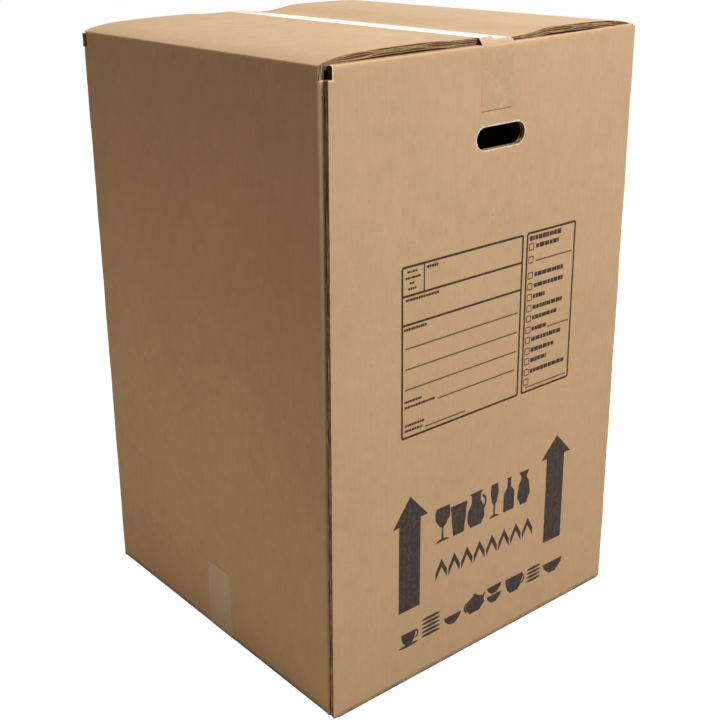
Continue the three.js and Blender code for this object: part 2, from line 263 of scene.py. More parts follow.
def panelStrip(turn, bottomKind, topKind, leftEdge, rightEdge, extraLevels=()):
    # one panel with its two flaps: the board's section, layered at both cut edges, carried along
    # the line from the bottom flap's free edge, up the wall, to the top flap's free edge
    shell = Shell()
    bottomOuter, bottomInner, bottomFoldMark = flapLines(bottomKind)
    topOuter, topInner, topWearAndHighlight = flapLines(topKind)
    low, high = bottomOuter[0, 1], topOuter[0, 1]
    levels = np.unique(np.r_[np.linspace(low, high, 62)[1:-1], extraLevels])
    levels = levels[(levels > low) & (levels < high)]
    wall = spread(0, levels)
    outer = np.concatenate([bottomOuter[::-1], wall, topOuter])
    under = np.concatenate([bottomInner[::-1], wall + [board["thickness"], 0], topInner])
    # fold marks along the section: pale at the top fold (wear and painted highlight), darker at the bottom
    # one
    wearAndHighlight = np.r_[bottomFoldMark[::-1], np.zeros(len(levels)), topWearAndHighlight]
    path = np.r_[0, np.cumsum(np.linalg.norm(np.diff(outer, axis=0), axis=1))]
    onWall = smoothStep(-1 * mm, 0, -outer[:, 0])
    left = leftEdge(outer[:, 0], outer[:, 1])[:, None]
    right = rightEdge(outer[:, 0], outer[:, 1])[:, None]
    marks, depth, slots = edgeSection(path, turn + 0.7)
    rows, stations, layers = len(path), 30, len(slots) - 1
    flat = np.broadcast_to(np.linspace(0, 1, stations), (rows, stations))
    # round the section: outer face from left to right, right edge, inner face back, left edge
    share = np.concatenate([flat, np.ones((rows, layers)), flat[:, ::-1], np.zeros((rows, layers))], 1)
    through = np.concatenate([0 * flat, marks[:, 1:-1], 0 * flat + 1, marks[:, -2:0:-1]], 1)
    back = np.r_[np.zeros(stations), -depth[1:-1], np.zeros(stations), depth[-2:0:-1]]
    along = left + (right - left) * share + back
    line = outer[:, None, :] * (1 - through[..., None]) + under[:, None, :] * through[..., None]
    inward = line[..., 0] + panelWave(turn, along, line[..., 1]) * onWall[:, None]
    level = line[..., 1] + crestRise(turn, along, line[..., 0], line[..., 1])
    points = placeOnPanel(turn, inward, along, level)
    ring = np.r_[np.zeros(stations - 1), slots, np.zeros(stations - 1), slots]
    uv = spread(along, path[:, None])
    shell.addTube(points, ring, uv, np.where(back != 0, 0, wearAndHighlight[:, None]), flip=True)
    return shell


def besideLevel(level):
    # two stations close to a level, so that a cut there has a sharp end
    return [level - 0.1 * mm, level + 0.1 * mm]


def straightEdge(value):
    return lambda s, z: np.full(np.shape(z), value)


def frontLeftEdge(s, z):
    # the front panel's glued side: its cut edge leans in by skew over the height, stops at the notch
    # above, and the flaps keep to their own edge
    onWall = s < onWallLimit
    notch = -half + joint["notchWidth"]
    edge = -half + joint["skew"] * z / innerTop
    edge = np.where(z > innerTop - joint["notchDepth"], notch, edge)
    edge = np.where(z < cornerLow, -flapHalf, edge)
    inFold = ~onWall & (s < board["thickness"]) & (z > innerTop / 2)
    return np.where(onWall, edge, np.where(inFold, notch, -flapHalf))


def leftNearEdge(s, z):
    # the left panel stops where its rounded bend into the glue tab begins
    onBend = (s < onWallLimit) & (z > cornerLow) & (z < innerTop - joint["notchDepth"])
    return np.where(onBend, inner - joint["gap"] - joint["foldRadius"], flapHalf)


def leftFarEdge(s, z):
    # the left panel's far side, with the slot between two flaps cut on past the fold
    cut = (s < onWallLimit) & (z > outerTop - farSlot["depth"])
    return np.where(cut, -(half - farSlot["near"]), -flapHalf)


def cornerFold(shell, turn, low, high):
    # the upright fold after a panel: a quarter circle outside and a crushed corner inside, carried
    # up the carton, with its radius wandering a little by two sines
    r, t = board["cornerRadius"], board["thickness"]
    a = np.linspace(0, np.pi / 2, 11)
    sideLevel = half - flapHalf
    along = np.r_[flapHalf, half - r + r * np.sin(a), half, half - t, half - t, half - t - 1 * mm, flapHalf]
    inward = np.r_[0, r - r * np.cos(a), sideLevel, sideLevel, t + 1 * mm, t, t]
    z = np.linspace(low, high, 90)[:, None]
    bulge = np.r_[0, np.sin(2 * a), np.zeros(5)] * 0.3 * mm
    wander = (np.sin(z * 41 + turn) * 0.5 + np.sin(z * 97 + 2 * turn) * 0.3) * bulge
    points = placeOnPanel(turn, inward + wander, along - wander, z)
    arc = np.r_[flapHalf, half - r + r * a, half + r, np.full(4, half)]
    # the corner's fold mark: the liner paints it pale above the foot (part wear and part painted highlight)
    # and darker near the floor
    wearAndHighlight = np.r_[0, np.sin(2 * a) * 0.6, np.zeros(5)]
    slots = np.r_[np.zeros(12), 1, np.zeros(3), 1]
    shell.addTube(points, slots, spread(arc, z), wearAndHighlight, flip=True)


def glueTab(shell):
    # the left panel's glued tab in plan: a quarter circle into a straight strip behind the front
    # panel, its ends slanted back from the flaps in proportion to the distance from the fold
    r, face = joint["foldRadius"], -inner + joint["gap"]
    a = np.linspace(np.pi, 1.5 * np.pi, 9)
    end = -inner + joint["tabLength"]
    run = np.linspace(-inner, end, 8)
    x = np.r_[-half + r + r * np.cos(a), run, run[::-1], -inner]
    back = face + joint["tabThickness"]
    y = np.r_[face + r + r * np.sin(a), np.full(8, face), np.full(8, back), face + r]
    slant = joint["tabTaper"] * np.clip((x + inner) / joint["tabLength"], 0, 1)
    onTab = x > -inner + 0.5 * mm
    low = np.where(onTab, joint["tabLow"] + slant, cornerLow)
    high = np.where(onTab, joint["tabHigh"] - slant, innerTop - joint["notchDepth"])
    z = low + np.linspace(0, 1, 60)[:, None] * (high - low)
    arc = np.r_[0, np.cumsum(np.hypot(np.diff(x), np.diff(y)))]
    shell.addTube(spread(x, y, z), 0, spread(arc, z))


def farCornerStub(shell):
    # what the slot leaves of the back panel's edge above the far corner fold
    t, back, bevel, far = board["thickness"], farSlot["back"], farSlot["bevel"], farSlot["far"]
    x, y = -half + np.array([back, t, t, back + bevel, back]), half - np.array([far, far, 0, 0, bevel])
    z = np.linspace(outerTop - farSlot["depth"], cornerHigh, 6)[:, None]
    shell.addTube(spread(x, y, z), 1)


# Hand holes

def stadium(length, height, arcPoints):
    # outline with two straight sides and a half circle at each end, anticlockwise
    r = height / 2
    a = np.linspace(-np.pi / 2, np.pi / 2, arcPoints)
    right = spread(length / 2 - r + r * np.cos(a), r * np.sin(a))
    return np.concatenate([right, -right])


def holeCutter(turn, grow, depthFrom, depthTo):
    # the hole's outline, grown on all sides, pushed through the board between two depths
    hole = handHole
    outline = stadium(hole["length"] + 2 * grow, hole["height"] + 2 * grow, hole["arcPoints"])
    depth = np.array([depthFrom, depthTo])[:, None]
    points = placeOnPanel(turn, depth, outline[:, 0] + hole["offset"], outline[:, 1] + hole["level"])
    shell = Shell()
    # the pockets' walls take the flute hollows' dark brown, a painted shade
    shell.addTube(points, materialSlots["cutEdge"] if grow == 0 else materialSlots["shadedHollow"],
                  flip=True, endSlot=materialSlots["shadedHollow"])
    return shell.build("holeCutter", [kraft, cutEdge, shadedFluteHollow])


def cutHandHole(panel, turn):
    # one cut through the panel, then a wider pocket in each hollow layer of the board
    liner, first = board["liner"], board["liner"] + board["outerFlute"]
    swell = 2 * mm  # past the panel's slow swell on both sides
    pocket = handHole["pocket"]
    dent = float(panelWave(turn, handHole["offset"], handHole["level"]))
    cuts = [(0, -swell, board["thickness"] + swell), (pocket, dent + liner, dent + first),
            (pocket, dent + first + liner, dent + board["thickness"] - liner)]
    for grow, depthFrom, depthTo in cuts:
        cutter = holeCutter(turn, grow, depthFrom, depthTo)
        cut = panel.modifiers.new("cut", "BOOLEAN")
        cut.object = cutter
        cut.solver = "EXACT"
        bpy.context.view_layer.objects.active = panel
        bpy.ops.object.modifier_apply(modifier=cut.name)
        bpy.data.objects.remove(cutter)


def fluteSheet(shell, turn, depthFrom, depthTo, pitch):
    # the medium seen inside the hand hole: a sine wave across the panel, of the hollow's own depth,
    # cut to the ring between the hole's outline and the pocket's by its lower and upper ends
    r, reach = handHole["height"] / 2, handHole["length"] / 2
    u = np.linspace(-reach, reach, 260)
    room = np.sqrt(np.maximum(r ** 2 - np.maximum(np.abs(u) - (reach - r), 0) ** 2, 0))
    middle, swing = (depthFrom + depthTo) / 2, (depthTo - depthFrom) / 2 - 0.1 * mm
    wave = middle + swing * np.sin(2 * np.pi * u / pitch)
    dent = panelWave(turn, handHole["offset"], handHole["level"])
    thick, length = 0.16 * mm, handHole["pocket"] - 0.1 * mm
    for side in (-1, 1):
        near, far = side * (room + 0.25 * mm), side * (room + length)
        up = spread(near, far, far, near) + handHole["level"]
        depth = wave[:, None] + dent + np.array([-thick, -thick, thick, thick])
        along = u[:, None] + handHole["offset"]
        shell.addTube(placeOnPanel(turn, depth, along, up), 1, flip=side > 0)


# Materials

def addNode(tree, kind, **values):
    # a shader node with its settings, and with plain values set on its input sockets
    node = tree.nodes.new("ShaderNode" + kind)
    for key, value in values.items():
        if hasattr(node, key):
            setattr(node, key, value)
        else:
            node.inputs[key.replace("_", " ")].default_value = value
    return node


def plug(tree, node, sources):
    # other nodes' outputs, or plain values, into a node's inputs by place or name
    for place, source in sources.items():
        if isinstance(source, (int, float, tuple)):
            node.inputs[place].default_value = source
        else:
            tree.links.new(source, node.inputs[place])
    return node


def feed(tree, kind, sources, **values):
    # a new node with its inputs plugged, and its first output
    return plug(tree, addNode(tree, kind, **values), sources).outputs[0]


def calculate(tree, operation, result, *others):
    # a Math node for each further value, one after the other
    for other in others or (0.0,):
        result = feed(tree, "Math", {0: result, 1: other}, operation=operation)
    return result


def mixColours(tree, factor, a, b, blend="MIX"):
    node = addNode(tree, "Mix", data_type="RGBA", blend_type=blend)
    return plug(tree, node, {0: factor, 6: a, 7: b}).outputs[2]


def shadeBy(tree, colour, light):
    grey = feed(tree, "CombineColor", {0: light, 1: light, 2: light})
    return mixColours(tree, 1.0, colour, grey, "MULTIPLY")


def stretch(tree, source, fromLow, fromHigh, toLow=0.0, toHigh=1.0):
    return feed(tree, "MapRange", {0: source, 1: fromLow, 2: fromHigh, 3: toLow, 4: toHigh})


def objectPlace(tree):
    return addNode(tree, "TexCoord").outputs["Object"]


def splitAxes(tree, source):
    return plug(tree, addNode(tree, "SeparateXYZ"), {0: source}).outputs


def noise(tree, place, scale, detail, squash=(1, 1, 1), rough=0.5):
    spot = feed(tree, "Mapping", {0: place}, Scale=squash)
    return feed(tree, "TexNoise", {0: spot}, Scale=scale, Detail=detail, Roughness=rough)


def newGroup(name, inputs, outputs):
    # an empty node group with named sockets; each is (name, kind, value)
    tree = bpy.data.node_groups.new(name, "ShaderNodeTree")
    for direction, sockets in (("INPUT", inputs), ("OUTPUT", outputs)):
        for socketName, kind, value in sockets:
            socket = tree.interface.new_socket(socketName, in_out=direction, socket_type="NodeSocket" + kind)
            if value is not None:
                socket.default_value = value
    return tree, tree.nodes.new("NodeGroupInput").outputs, tree.nodes.new("NodeGroupOutput").inputs


def placeGroup(tree, group, **values):
    return addNode(tree, "Group", node_tree=group, **values).outputs


# Sizes of the paper's patterns, as noise scales, and how strongly each one changes the light
paperLook = dict(
    scale=dict(cloud=9, mottle=55, fibre=420, speck=900, fleck=260), fibreStretch=0.12,
    weight=dict(cloud=0.16, mottle=0.20, fibre=0.20, speck=0.10),
    warm=sRgb(222, 178, 128), warmth=0.14, fleck=sRgb(120, 88, 58), fleckCover=0.35)


def makePaperGroup():
    # kraft paper: slow clouds, mottle, short upright fibres and fine specks, mixed over a base colour
    tree, given, out = newGroup(
        "kraftPaper",
        [("Base", "Color", (0.5, 0.4, 0.3, 1)), ("Contrast", "Float", 1.0)],
        [("Colour", "Color", None), ("Height", "Float", None), ("Mottle", "Float", None)])
    do, place, look, scale = partial(calculate, tree), objectPlace(tree), paperLook, paperLook["scale"]
    fields = dict(
        cloud=noise(tree, place, scale["cloud"], 3),
        mottle=noise(tree, place, scale["mottle"], 5, rough=0.65),
        fibre=noise(tree, place, scale["fibre"], 3, (1, 1, look["fibreStretch"]), 0.6),
        speck=noise(tree, place, scale["speck"], 2))
    total = 0.0
    for name, weight in look["weight"].items():
        total = do("ADD", do("MULTIPLY", do("SUBTRACT", fields[name], 0.5), weight), total)
    light = do("ADD", do("MULTIPLY", total, given["Contrast"]), 1.0)
    colour = shadeBy(tree, given["Base"], light)
    warm = stretch(tree, fields["mottle"], 0.35, 0.75, 0, look["warmth"])
    colour = mixColours(tree, warm, colour, look["warm"])
    fleck = stretch(tree, noise(tree, place, scale["fleck"], 2, rough=0.7), 0.68, 0.76, 0, look["fleckCover"])
    tree.links.new(mixColours(tree, fleck, colour, look["fleck"]), out["Colour"])
    tree.links.new(do("ADD", do("MULTIPLY", fields["fibre"], 0.6), fields["mottle"]), out["Height"])
    tree.links.new(fields["mottle"], out["Mottle"])
    return tree


def makeFluteGroup():
    # ribs of the flutes showing through the liner: a sine of the distance across the panel, broken
    # up by a slow noise
    pitch = ("Pitch", "Float", flutePitch["inner"])
    tree, given, out = newGroup("fluteRibs", [pitch], [("Rib", "Float", None)])
    do = partial(calculate, tree)
    across = splitAxes(tree, addNode(tree, "UVMap", uv_map="boardUv").outputs[0])[0]
    wave = do("SINE", do("DIVIDE", do("MULTIPLY", across, 2 * math.pi), given["Pitch"]))
    patchy = stretch(tree, noise(tree, objectPlace(tree), 14, 2), 0.35, 0.7, 0.25, 1)
    tree.links.new(do("MULTIPLY", wave, patchy), out["Rib"])
    return tree


def makeRimGroup():
    # torn, pale paper round the hand holes and the notch: a band beside the stadium's edge and
    # beside the notch's box, from their distance formulas, roughened by noise
    tree, given, out = newGroup("tornRim", [("Width", "Float", 1.6 * mm)],
                                [("Rim", "Float", None), ("Shade", "Float", None)])
    do, place = partial(calculate, tree), objectPlace(tree)
    x, y, z = splitAxes(tree, place)
    ragged = stretch(tree, noise(tree, place, 320, 3), 0.3, 0.7, 0.35, 1.5)
    rag = do("MULTIPLY", ragged, given["Width"])
    radius = handHole["height"] / 2
    # the back panel's hole is the front one turned half round, so x changes sign with y
    across = do("ADD", x, do("MULTIPLY", do("SIGN", y), handHole["offset"]))
    past = do("MAXIMUM", do("SUBTRACT", do("ABSOLUTE", across), handHole["length"] / 2 - radius), 0.0)
    up = do("SUBTRACT", z, handHole["level"])
    square = do("ADD", do("MULTIPLY", past, past), do("MULTIPLY", up, up))
    holeDistance = do("SUBTRACT", do("SQRT", square), radius)
    onPanel = do("GREATER_THAN", do("ABSOLUTE", y), inner - 1 * mm)
    holeRim = do("MULTIPLY", do("LESS_THAN", holeDistance, rag), onPanel)
    beyond = do("SUBTRACT", x, -half + joint["notchWidth"])
    below = do("SUBTRACT", innerTop - joint["notchDepth"], z)
    atFront = do("LESS_THAN", y, -inner + 1 * mm)
    inNotch = do("LESS_THAN", below, 0.0)
    nearNotch = do("LESS_THAN", do("ABSOLUTE", do("MAXIMUM", beyond, below)), rag)
    # the left panel's cut edge in the notch has its pale line at the outside liner
    linerRim = do("MULTIPLY", do("LESS_THAN", x, do("ADD", rag, -half)), inNotch)
    notchRim = do("MULTIPLY", do("MAXIMUM", nearNotch, linerRim), atFront)
    tree.links.new(do("MAXIMUM", holeRim, notchRim), out["Rim"])
    # the notch's right side, behind the outside liner, lies in shade
    behind = do("GREATER_THAN", y, -half + 1.2 * mm)
    onSide = do("GREATER_THAN", beyond, -1 * mm)
    onLeft = do("LESS_THAN", x, 0.0)
    tree.links.new(do("MULTIPLY", onSide, behind, inNotch, atFront, onLeft, 0.85), out["Shade"])
    return tree


def newMaterial(name):
    material = bpy.data.materials.new(name)
    material.use_nodes = True
    material.node_tree.nodes.clear()
    return material, material.node_tree


def paperMaterial(name, base, contrast=1.0):
    # a new material with the paper below its look
    material, tree = newMaterial(name)
    return material, tree, placeGroup(tree, paperGroup, Base=base, Contrast=contrast)


def showShader(tree, shader):
    tree.links.new(shader, addNode(tree, "OutputMaterial").inputs[0])


def finishMaterial(material, tree, colour, height, bumpDepth, roughness, **values):
    bump = feed(tree, "Bump", {"Height": height}, Strength=1.0, Distance=bumpDepth)
    sources = {"Base Color": colour, "Roughness": roughness, "Normal": bump}
    showShader(tree, feed(tree, "BsdfPrincipled", sources, **values))
    return material


# the folds' pale colour is part wear and part painted highlight; the dark colour makes the liner darker
# towards the floor and along the bottom folds
kraftLook = dict(base=sRgb(207, 175, 139), wornAndLit=sRgb(232, 194, 146), torn=sRgb(238, 222, 200),
                 footDark=sRgb(66, 52, 40), roughness=0.8, ribDepth=0.025 * mm, ribShade=0.008,
                 footDarkHeight=6 * mm, footHeight=16 * mm)
# the hollow colour is a dark brown that paints the shade deep in the flutes and in the hand holes' pockets
edgeLook = dict(base=sRgb(208, 176, 142), streak=sRgb(132, 94, 62), torn=sRgb(206, 176, 138),
                shade=sRgb(38, 28, 20), shadedHollow=sRgb(140, 102, 70), tornWidth=1.2 * mm)
# the tape's pale patches are partly trapped air and partly painted reflection
tapeLook = dict(airAndSheen=sRgb(226, 204, 176), airAndSheenCover=0.40, coat=0.7, coatRoughness=0.2)


def makeKraft():
    # the liner: paper with the flutes' ribs, pale folds that are part wear and part painted highlight,
    # patches that darken it towards the floor and along the bottom folds, and torn rims
    look = kraftLook
    material, tree, paper = paperMaterial("kraftLiner", look["base"])
    do, place = partial(calculate, tree), objectPlace(tree)
    rib = placeGroup(tree, fluteGroup)["Rib"]
    ribLight = do("ADD", do("MULTIPLY", rib, look["ribShade"]), 1 - look["ribShade"])
    colour = shadeBy(tree, paper["Colour"], ribLight)
    wearAndHighlight = addNode(tree, "Attribute", attribute_name="wearAndHighlight").outputs["Fac"]
    wornAndLit = do("MULTIPLY", wearAndHighlight, stretch(tree, paper["Mottle"], 0.3, 0.6, 0.25, 0.75))
    level = splitAxes(tree, place)[2]
    # above the foot the folds are pale, part wear and part painted highlight, and along the floor and the
    # bottom folds the colour is darker in patches
    aboveFoot = do("GREATER_THAN", level, look["footHeight"])
    colour = mixColours(tree, do("MULTIPLY", wornAndLit, aboveFoot), colour, look["wornAndLit"])
    # the liner is made darker within a few millimetres of the floor and at the bottom folds, in patches
    atFoot = do("MULTIPLY", do("SUBTRACT", 1.0, aboveFoot), wearAndHighlight)
    low = do("MAXIMUM", stretch(tree, level, look["footDarkHeight"], 0.0), atFoot)
    patchy = stretch(tree, noise(tree, place, 70, 4, rough=0.7), 0.42, 0.62, 0.45, 0.95)
    colour = mixColours(tree, do("MULTIPLY", low, patchy), colour, look["footDark"])
    colour = mixColours(tree, placeGroup(tree, rimGroup)["Rim"], colour, look["torn"])
    height = do("ADD", do("MULTIPLY", paper["Height"], 0.25), rib)
    return finishMaterial(material, tree, colour, height, look["ribDepth"], look["roughness"],
                          Specular_IOR_Level=0.3)


def makeCutEdge():
    # the fluffy edges of liners and media: the paper again, with ragged light and dark streaks
    look = edgeLook
    material, tree, paper = paperMaterial("boardCutEdge", look["base"], 1.6)
    streak = stretch(tree, noise(tree, objectPlace(tree), 75, 5, rough=0.75), 0.42, 0.64, 0.0, 0.8)
    colour = mixColours(tree, streak, paper["Colour"], look["streak"])
    rim = placeGroup(tree, rimGroup, Width=look["tornWidth"])
    colour = mixColours(tree, rim["Rim"], colour, look["torn"])
    colour = mixColours(tree, rim["Shade"], colour, look["shade"])
    return finishMaterial(material, tree, colour, streak, 0.3 * mm, 0.92, Specular_IOR_Level=0.2)


def makeShadedHollow():
    # the flute hollows and the hand holes' pockets: paper in a dark brown, a painted shade of their depths,
    # with the notch's painted shade
    material, tree, paper = paperMaterial("shadedFluteHollow", edgeLook["shadedHollow"], 1.5)
    colour = mixColours(tree, placeGroup(tree, rimGroup)["Shade"], paper["Colour"], edgeLook["shade"])
    return finishMaterial(material, tree, colour, paper["Height"], 0.2 * mm, 0.95, Specular_IOR_Level=0.1)


def makeTapeMaterial(name, base):
    # clear film on kraft: the paper below shows through, the film shines, and pale patches are partly trapped
    # air and partly painted reflection
    look = tapeLook
    material, tree, paper = paperMaterial(name, base, 0.8)
    place = objectPlace(tree)
    airAndSheen = stretch(tree, noise(tree, place, 60, 5, rough=0.75), 0.50, 0.66, 0.0, look["airAndSheenCover"])
    colour = mixColours(tree, airAndSheen, paper["Colour"], look["airAndSheen"])
    rough = stretch(tree, noise(tree, place, 38, 3), 0.3, 0.7, 0.24, 0.42)
    ripple = noise(tree, place, 120, 3, (1, 1, 0.3))
    return finishMaterial(material, tree, colour, ripple, 0.12 * mm, rough,
                          Coat_Weight=look["coat"], Coat_Roughness=look["coatRoughness"])


def makeInk(name, ink, cover):
    # flexographic ink: thinner between the ribs and over the fibres, so that the board shows through
    material, tree, paper = paperMaterial(name, kraftLook["base"])
    do, place = partial(calculate, tree), objectPlace(tree)
    rib = do("SINE", do("MULTIPLY", splitAxes(tree, place)[0], 2 * math.pi / flutePitch["inner"]))
    thin = do("ADD", do("MULTIPLY", rib, 0.04), noise(tree, place, 240, 4, rough=0.7))
    film = stretch(tree, thin, 0.45, 0.8, cover, cover - 0.14)
    colour = mixColours(tree, film, paper["Colour"], ink)
    return finishMaterial(material, tree, colour, paper["Height"], 0.04 * mm, 0.7, Specular_IOR_Level=0.3)


print("stage: materials")
paperGroup, fluteGroup, rimGroup = makePaperGroup(), makeFluteGroup(), makeRimGroup()
kraft, cutEdge, shadedFluteHollow = makeKraft(), makeCutEdge(), makeShadedHollow()
boldInk = makeInk("boldInk", sRgb(62, 54, 54), 1.0)
formInk = makeInk("formInk", sRgb(62, 46, 34), 1.0)
lineInk = makeInk("lineInk", sRgb(104, 78, 54), 0.95)
boardMaterials = [kraft, cutEdge, shadedFluteHollow]

print("stage: board")
notchLevels = besideLevel(innerTop - joint["notchDepth"])
slotLevels = besideLevel(outerTop - farSlot["depth"])
bendLevels = besideLevel(cornerLow) + notchLevels
left, right = straightEdge(-flapHalf), straightEdge(flapHalf)
strips = [
    panelStrip(0, "innerBottom", "outerTop", leftFarEdge, leftNearEdge, slotLevels + bendLevels),
    panelStrip(1, "outerBottom", "innerTop", frontLeftEdge, right, notchLevels),
    panelStrip(2, "innerBottom", "rightTop", left, right),
    panelStrip(3, "outerBottom", "innerTop", left, right),
]
panels = [strip.build("carton_board", boardMaterials) for strip in strips]
for turn in (1, 3):
    cutHandHole(panels[turn], turn)
corners = Shell()
for turn, top in ((1, cornerHigh + 2 * mm), (2, cornerHigh), (3, outerTop - farSlot["depth"])):
    cornerFold(corners, turn, cornerLow, top)
glueTab(corners)
farCornerStub(corners)
liner, middleLiner = board["liner"], board["liner"] + board["outerFlute"]
for turn in (1, 3):
    fluteSheet(corners, turn, liner, middleLiner, flutePitch["outer"])
    fluteSheet(corners, turn, middleLiner + liner, board["thickness"] - liner, flutePitch["inner"])
carton = corners.build("corner_folds", boardMaterials)
bpy.ops.object.select_all(action="DESELECT")
for piece in panels + [carton]:
    piece.select_set(True)
bpy.context.view_layer.objects.active = carton
bpy.ops.object.join()
carton.name = "carton_board"
smoothFaces(carton.data, 30)
finishPiece(carton, "carton")


# Tapes

tapes = {
    "top_seam_tape": dict(node="top_tape", turn=1, side=1, offset=2.2 * mm, tab=69 * mm,
                          fold=innerTop, flat=outerTop + 7 * mm, drop=3.5 * mm,
                          base=sRgb(206, 175, 138)),
    # the bottom tape's base is paler and greyer than the kraft under it, a painted reflection of the pale
    # room on its shaded side
    "bottom_seam_tape": dict(node="bottom_tape", turn=0, side=-1, offset=12 * mm, tab=92 * mm,
                             fold=flapKinds["innerBottom"]["fold"], flat=0.8 * mm, drop=0,
                             base=sRgb(219, 194, 163)),
}
tapeSize = dict(width=48 * mm, thickness=0.07 * mm, lift=0.03 * mm, toothDepth=0.9 * mm, teeth=24)


def bendCurve(start, corner, end, steps):
    # quadratic curve from start to end, pulled towards corner
    b = np.linspace(0, 1, steps)[:, None]
    return (1 - b) ** 2 * np.array(start) + 2 * b * (1 - b) * np.array(corner) + b ** 2 * np.array(end)


def tapeLine(tape):
    # half of the tape's line as (inward, up): straight up the wall, over the fold, over the flap's
    # cut edge, and level to the seam
    fold, flat, side = tape["fold"], tape["flat"], tape["side"]
    lift, edge = tapeSize["lift"], half - flapHalf
    foldStart = fold - side * 0.8 * board["foldReach"]
    wall = spread(-lift, np.linspace(fold - side * tape["tab"], foldStart, 30))
    onFlap = (0.35 * edge, fold + 0.45 * (flat - fold) + side * lift)
    over = bendCurve(wall[-1], (-lift, fold + side * 0.5 * lift), onFlap, 8)
    crest = bendCurve((0.8 * edge, flat - side * lift), (edge, flat + side * lift),
                      (1.6 * edge, flat + side * lift), 8)
    level = np.linspace(1.6 * edge, half, 30)[1:]
    return np.concatenate([wall, over[1:], crest, spread(level, flat + side * lift)])


def makeTapePiece(name, tape):
    # the line, mirrored past the seam, swept across the tape's width; on the walls it follows the
    # panel's swell, and its two ends are zigzags from the cutter
    line = tapeLine(tape)
    across = np.linspace(-0.5, 0.5, 2 * tapeSize["teeth"] + 1) * tapeSize["width"]
    zigzag = np.where(np.arange(len(across)) % 2, -1, 1) * tapeSize["toothDepth"] / 2
    step = np.gradient(line, axis=0)
    normal = spread(-step[:, 1], step[:, 0]) / np.linalg.norm(step, axis=1)[:, None]
    outward = line + tape["side"] * normal * tapeSize["thickness"]
    sheets = []
    for turn, sign in ((tape["turn"], 1), ((tape["turn"] + 2) % 4, -1)):
        for layer in (line, outward):
            wall = smoothStep(2 * mm, 0, layer[:, :1])
            along = sign * (across + tape["offset"])
            up = layer[:, 1:] + tape["side"] * zigzag * smoothStep(3, 0, np.arange(len(line)))[:, None]
            onRightFlap = smoothStep(-4 * mm, 4 * mm, across + tape["offset"])
            up = up - tape["drop"] * onRightFlap * smoothStep(2 * mm, half - flapHalf, layer[:, :1])
            inward = layer[:, :1] + panelWave(turn, along, up) * wall
            sheets.append(placeOnPanel(turn, inward, along, up))
    below = np.concatenate([sheets[0], sheets[2][-2::-1]])
    above = np.concatenate([sheets[1], sheets[3][-2::-1]])
    shell = Shell()
    shell.addTube(np.concatenate([above, below[:, ::-1]], 1), flip=tape["side"] < 0, endSlot=0)
    piece = shell.build(name, [makeTapeMaterial(tape["node"], tape["base"])], sharpAngle=50)
    finishPiece(piece, tape["node"])


print("stage: tapes")
for name, tape in tapes.items():
    makeTapePiece(name, tape)


# Print on the front panel, in its own across and up

inkSize = dict(sunk=0.05 * mm, proud=0.09 * mm, cell=12 * mm)


def inkPatch(shell, leftSide, rightSide, slot=0):
    # a thin slab ruled between two lines of as many points, given as (across, up), laid on the
    # panel's swell: each point is a share of the way from the left line to the right one
    leftSide, rightSide = np.asarray(leftSide, float) * mm, np.asarray(rightSide, float) * mm
    widest = np.linalg.norm(rightSide - leftSide, axis=1).max()
    share = np.linspace(0, 1, max(2, int(widest / inkSize["cell"]) + 2))[None, :, None]
    flat = leftSide[:, None] * (1 - share) + rightSide[:, None] * share
    swell = panelWave(1, flat[..., 0], flat[..., 1])
    front, behind = [placeOnPanel(1, swell + depth, flat[..., 0], flat[..., 1])
                     for depth in (-inkSize["proud"], inkSize["sunk"])]
    shell.addTube(np.concatenate([front, behind[:, ::-1]], 1), slot, endSlot=slot)


def evenPatch(shell, x, reach, z, slot=0):
    # a patch as far to the left of x as to the right, at each level z
    inkPatch(shell, spread(x - reach, z), spread(x + reach, z), slot)


def bar(shell, x0, x1, z, thick, slot=0):
    # a level line; its two sides are its left and right ends
    low, high = z - thick / 2, z + thick / 2
    inkPatch(shell, [(x0, low), (x0, high)], [(x1, low), (x1, high)], slot)


def post(shell, x, z0, z1, thick, slot=0):
    # an upright line, in steps short enough to follow the panel
    evenPatch(shell, x, thick / 2, np.linspace(z0, z1, max(2, int((z1 - z0) / 12) + 1)), slot)


def roundedBox(x0, x1, z0, z1, radius, steps):
    # a rectangle with quarter circles for corners, each joined to the next by a straight run
    a = np.linspace(0, np.pi / 2, 6)
    centres = [(x1 - radius, z1 - radius), (x0 + radius, z1 - radius),
               (x0 + radius, z0 + radius), (x1 - radius, z0 + radius)]
    arcs = [spread(x + radius * np.cos(a + i * np.pi / 2), z + radius * np.sin(a + i * np.pi / 2))
            for i, (x, z) in enumerate(centres)]
    share = np.linspace(0, 1, steps)[1:-1, None]
    runs = [arcs[i][-1] * (1 - share) + arcs[(i + 1) % 4][0] * share for i in range(4)]
    return np.concatenate([line for pair in zip(arcs, runs) for line in pair] + [arcs[0][:1]])


def frameBox(shell, x0, x1, z0, z1, thick, radius, slot=0):
    # the band between two rounded boxes, half a line's width outside and inside the given one
    h, steps = thick / 2, max(3, int((z1 - z0) / 10))
    outside = roundedBox(x0 - h, x1 + h, z0 - h, z1 + h, radius + h, steps)
    inside = roundedBox(x0 + h, x1 - h, z0 + h, z1 - h, max(radius - h, 0.2), steps)
    inkPatch(shell, outside, inside, slot)


def eased(profile, rows=34):
    # half widths between the profile's points, joined by smooth steps
    level, width = np.array([p[1] for p in profile]), np.array([p[0] for p in profile])
    z = np.linspace(level[0], level[-1], rows)
    i = np.clip(np.searchsorted(level, z, side="right") - 1, 0, len(level) - 2)
    t = smoothStep(level[i], level[i + 1], z)
    return z, width[i] * (1 - t) + width[i + 1] * t


